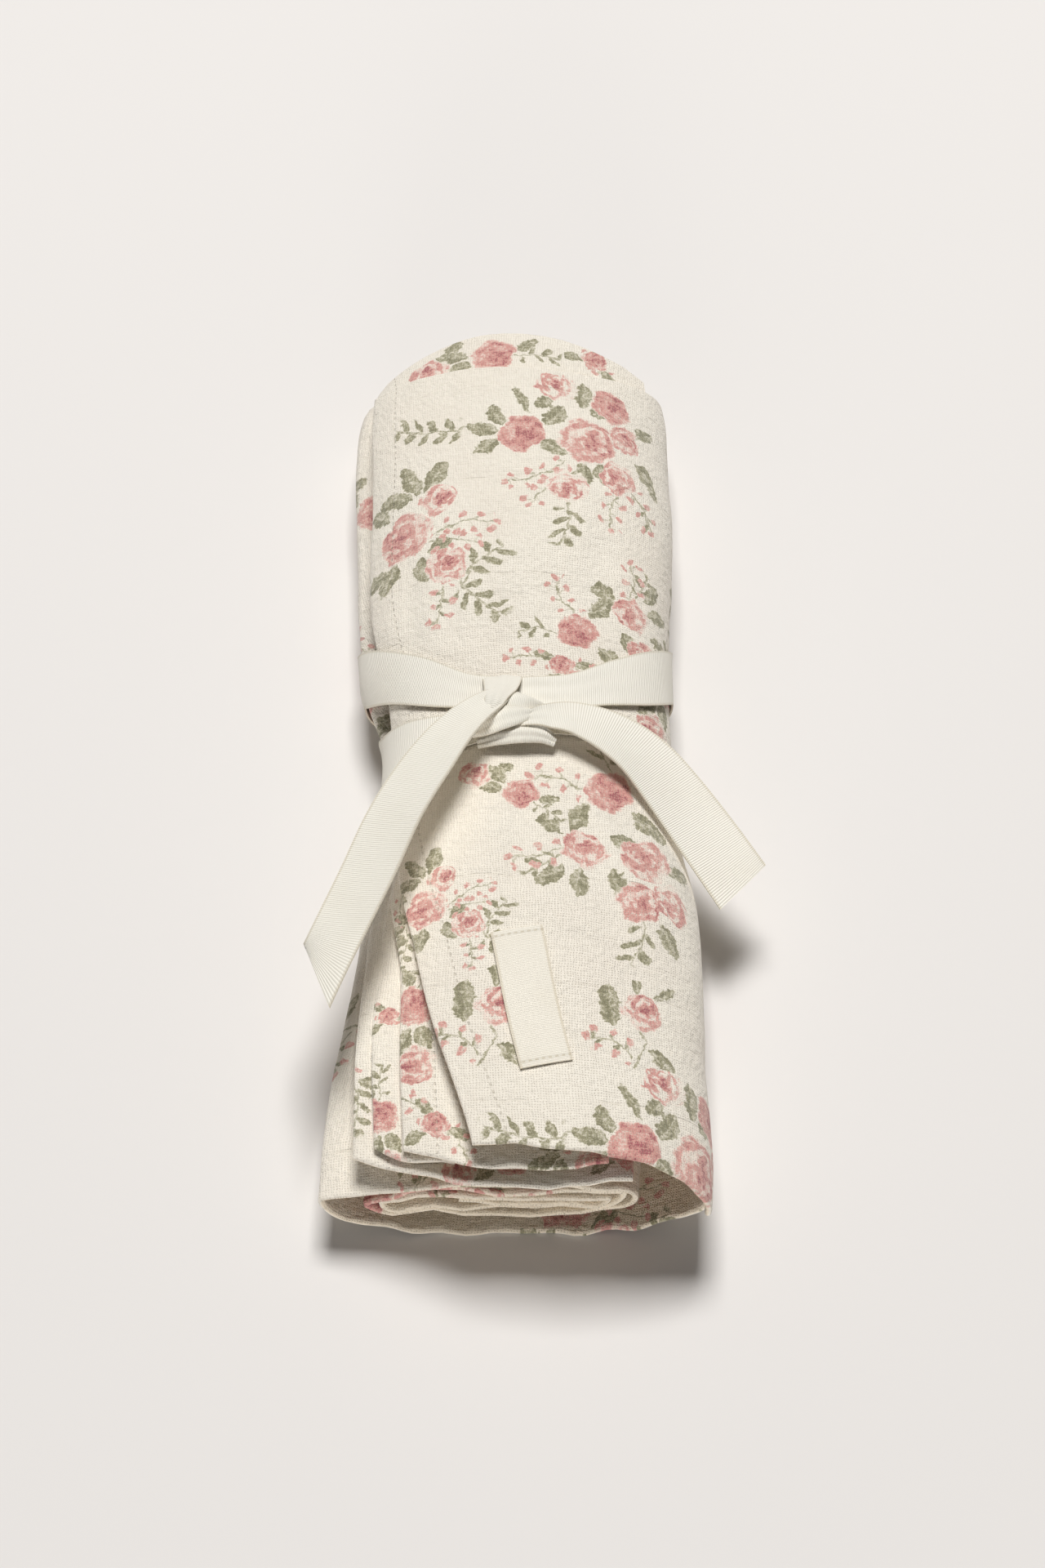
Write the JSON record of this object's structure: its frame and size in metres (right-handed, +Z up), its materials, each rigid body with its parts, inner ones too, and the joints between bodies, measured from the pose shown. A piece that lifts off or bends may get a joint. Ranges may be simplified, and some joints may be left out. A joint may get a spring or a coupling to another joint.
{
  "type": "rolled swaddle blanket",
  "caption": "Muslin swaddle blanket folded to a strip and wound into a flattened roll, tied round the waist with ribbon.",
  "frame": {"origin": "middle of the whole object's underside, on the surface that the roll rests on", "axes": "+Y along the roll towards its closed end, so that the open end with the fanned plies faces -Y; +X to the right seen from the open end; +Z up through the knot"},
  "size_m": [0.1346, 0.3144, 0.0626],
  "materials": {
    "printed_muslin": "double-gauze cotton muslin, cream with sage and rose flower sprays, matt and slightly crinkled",
    "grosgrain_ribbon": "cream grosgrain ribbon with fine cross ribs, plain, soft sheen",
    "label_tape": "cream woven label tape, plain, sewn on at both ends"
  },
  "bodies": {
    "root": {"swaddle_cloth": "printed_muslin", "ribbon_tie": "grosgrain_ribbon", "sewn_label": "label_tape"}
  },
  "joints": []
}
